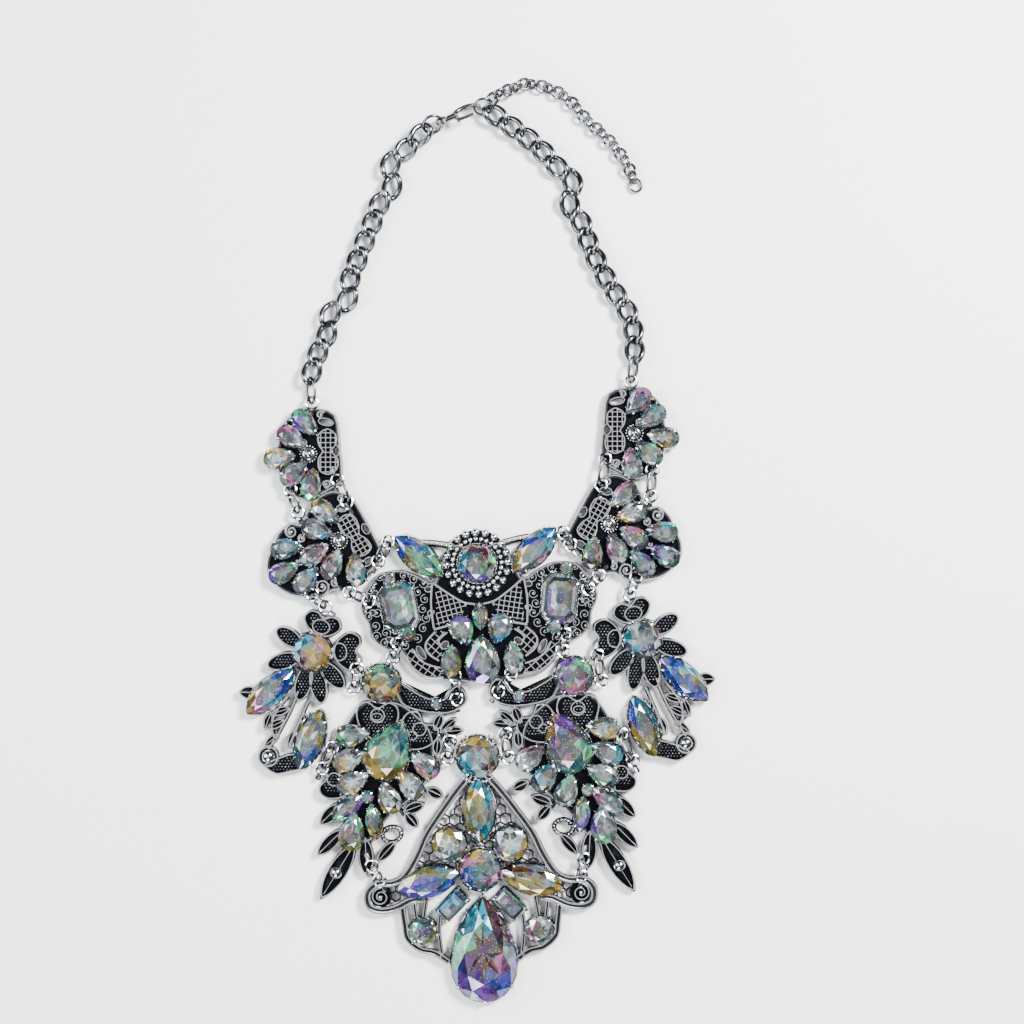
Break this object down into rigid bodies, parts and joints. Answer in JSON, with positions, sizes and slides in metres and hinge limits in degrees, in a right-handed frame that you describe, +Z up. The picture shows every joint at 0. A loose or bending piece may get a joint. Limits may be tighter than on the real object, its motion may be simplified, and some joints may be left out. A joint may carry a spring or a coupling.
{
  "type": "bib necklace",
  "caption": "Statement bib necklace of cast openwork plates and drops set with cut stones, on curb chains with a lobster clasp and an extender chain.",
  "frame": {"origin": "middle of the bounding box in plan, on the surface that the flat back lies on", "axes": "+X to the right of the picture, +Y from the bib towards the clasp, +Z up from the surface to the stones"},
  "size_m": [0.1376, 0.265, 0.0071],
  "materials": {
    "antique_silver": "cast, oxidised dark in the recesses and polished bright on the raised rims",
    "plated_silver": "polished silver plate, slightly greyed",
    "crystal": "faceted, foiled, with an iridescent coating"
  },
  "bodies": {
    "necklace": {"butterfly_navette_L": "crystal", "butterfly_navette_R": "crystal", "butterfly_octagon_L": "crystal", "butterfly_octagon_R": "crystal", "butterfly_plate": "antique_silver", "butterfly_round": "crystal", "centre_drop": "antique_silver", "centre_pear": "crystal", "centre_round": "crystal", "clasp_body": "plated_silver", "clasp_ring": "plated_silver", "cluster_drop_L": "antique_silver", "cluster_drop_R": "antique_silver", "cluster_pear_L": "crystal", "cluster_pear_R": "crystal", "cluster_round_L": "crystal", "cluster_round_R": "crystal", "end_ring": "plated_silver", "extender_chain": "plated_silver", "flower_drop_L": "antique_silver", "flower_drop_R": "antique_silver", "flower_stone_L": "crystal", "flower_stone_R": "crystal", "lower_marquise_L": "crystal", "lower_marquise_R": "crystal", "neck_chain_left": "plated_silver", "neck_chain_right": "plated_silver", "ring_butterfly_side_L": "plated_silver", "ring_butterfly_side_R": "plated_silver", "ring_butterfly_top_L": "plated_silver", "ring_butterfly_top_R": "plated_silver", "ring_centre_side_L": "plated_silver", "ring_centre_side_R": "plated_silver", "ring_centre_top_L": "plated_silver", "ring_centre_top_R": "plated_silver", "ring_chain_L": "plated_silver", "ring_chain_R": "plated_silver", "ring_cluster_arm_L": "plated_silver", "ring_cluster_arm_R": "plated_silver", "ring_cluster_inner_L": "plated_silver", "ring_cluster_inner_R": "plated_silver", "ring_cluster_outer_L": "plated_silver", "ring_cluster_outer_R": "plated_silver", "ring_flower_foot_L": "plated_silver", "ring_flower_foot_R": "plated_silver", "ring_flower_top_L": "plated_silver", "ring_flower_top_R": "plated_silver", "ring_plate_inner_L": "plated_silver", "ring_plate_inner_R": "plated_silver", "ring_plate_outer_L": "plated_silver", "ring_plate_outer_R": "plated_silver", "shoulder_plate_L": "antique_silver", "shoulder_plate_R": "antique_silver", "top_marquise": "crystal", "top_round": "crystal", "upper_marquise_L": "crystal", "upper_marquise_R": "crystal", "upper_plate_L": "antique_silver", "upper_plate_R": "antique_silver"},
    "lever": {"clasp_lever": "plated_silver"}
  },
  "joints": [
    {"name": "clasp_lever_hinge", "type": "hinge", "parent": "necklace", "child": "lever", "pos_m": [-0.00531, 0.12038, 0.00473], "axis": [-0.2499, 0.6615, 0.7071], "range_deg": [0, 24], "stiffness_Nm_per_rad": 0.005, "springref_deg": -11.46}
  ]
}
